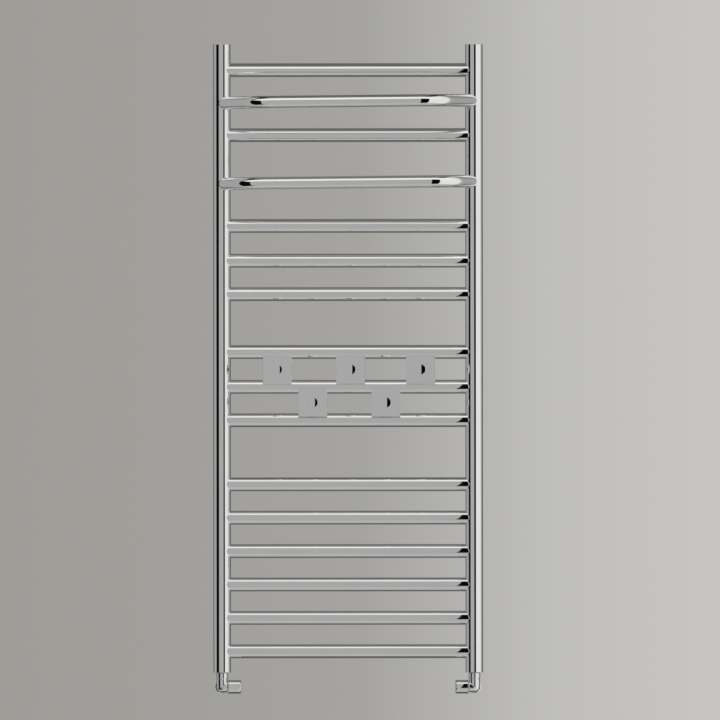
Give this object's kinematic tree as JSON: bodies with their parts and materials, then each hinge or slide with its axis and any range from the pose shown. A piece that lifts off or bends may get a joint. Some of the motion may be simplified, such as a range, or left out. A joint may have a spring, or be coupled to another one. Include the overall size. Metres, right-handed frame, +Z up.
{
  "type": "ladder towel rail",
  "caption": "Wall-hung ladder towel radiator of round tube with grouped straight bars, bowed front rails, square-plate robe hooks and elbow valves under the uprights.",
  "frame": {"origin": "in the wall plane, at the centre of the four wall screw holes", "axes": "+X to the right of someone facing the wall, +Y into the wall, +Z up"},
  "size_m": [0.481, 0.177, 1.1587],
  "materials": {
    "chrome_tube": "mirror-polished chrome plate",
    "chrome_fittings": "polished chrome plate",
    "bush_steel": "machined",
    "bare_brass": "machined",
    "screw_steel": "zinc plated",
    "seal_rubber": "matte"
  },
  "bodies": {
    "rail": {"bar_01": "chrome_tube", "bar_02": "chrome_tube", "bar_03": "chrome_tube", "bar_04": "chrome_tube", "bar_05": "chrome_tube", "bar_06": "chrome_tube", "bar_07": "chrome_tube", "bar_08": "chrome_tube", "bar_09": "chrome_tube", "bar_10": "chrome_tube", "bar_11": "chrome_tube", "bar_12": "chrome_tube", "bar_13": "chrome_tube", "bar_14": "chrome_tube", "blank_plug": "chrome_tube", "bow_rail_lower": "chrome_tube", "bow_rail_upper": "chrome_tube", "bracket_bosses": "chrome_tube", "bracket_grub_screws": "screw_steel", "bracket_stems": "chrome_fittings", "compression_nuts": "chrome_fittings", "hook_clamps": "chrome_tube", "hook_peg_1": "chrome_tube", "hook_peg_2": "chrome_tube", "hook_peg_3": "chrome_tube", "hook_peg_4": "chrome_tube", "hook_peg_5": "chrome_tube", "hook_plate_1": "chrome_tube", "hook_plate_2": "chrome_tube", "hook_plate_3": "chrome_tube", "hook_plate_4": "chrome_tube", "hook_plate_5": "chrome_tube", "hook_screws": "screw_steel", "inlet_bushes": "bush_steel", "olives": "bare_brass", "spindle_seals": "seal_rubber", "tail_seals": "seal_rubber", "top_caps": "chrome_tube", "union_clips": "screw_steel", "union_nuts": "chrome_tube", "upright_left": "chrome_tube", "upright_right": "chrome_tube", "valve_body_left": "chrome_tube", "valve_body_right": "chrome_tube", "valve_bonnets": "bare_brass", "valve_tails": "chrome_tube", "vent_bosses": "chrome_tube", "vent_plug": "chrome_tube", "wall_cups": "chrome_fittings"},
    "head_left": {"valve_head_left": "chrome_tube", "valve_spindle_left": "bare_brass", "head_grub_screw_left": "screw_steel"},
    "head_right": {"valve_head_right": "chrome_tube", "valve_spindle_right": "bare_brass", "head_grub_screw_right": "screw_steel"},
    "jumper_left": {"valve_jumper_left": "bare_brass", "jumper_washer_left": "seal_rubber"},
    "jumper_right": {"valve_jumper_right": "bare_brass", "jumper_washer_right": "seal_rubber"},
    "bleed_screw": {"vent_screw": "bare_brass"}
  },
  "joints": [
    {"name": "head_left_turn", "type": "hinge", "parent": "rail", "child": "head_left", "pos_m": [-0.225, -0.07, -0.5808], "axis": [1, 0, 0], "range_deg": [-540, 540]},
    {"name": "head_right_turn", "type": "hinge", "parent": "rail", "child": "head_right", "pos_m": [0.225, -0.07, -0.5808], "axis": [-1, 0, 0], "range_deg": [-540, 540]},
    {"name": "jumper_left_slide", "type": "slide", "parent": "rail", "child": "jumper_left", "axis": [1, 0, 0], "range_m": [-0.00188, 0.00188]},
    {"name": "jumper_right_slide", "type": "slide", "parent": "rail", "child": "jumper_right", "axis": [-1, 0, 0], "range_m": [-0.00188, 0.00188]},
    {"name": "bleed_screw_turn", "type": "hinge", "parent": "rail", "child": "bleed_screw", "pos_m": [0.225, -0.07, 0.5356], "axis": [0, -1, 0], "range_deg": [0, 360]}
  ],
  "couplings": [
    {"joint": "jumper_left_slide", "follows": "head_left_turn", "m_per_rad": 0.00019894},
    {"joint": "jumper_right_slide", "follows": "head_right_turn", "m_per_rad": 0.00019894}
  ]
}
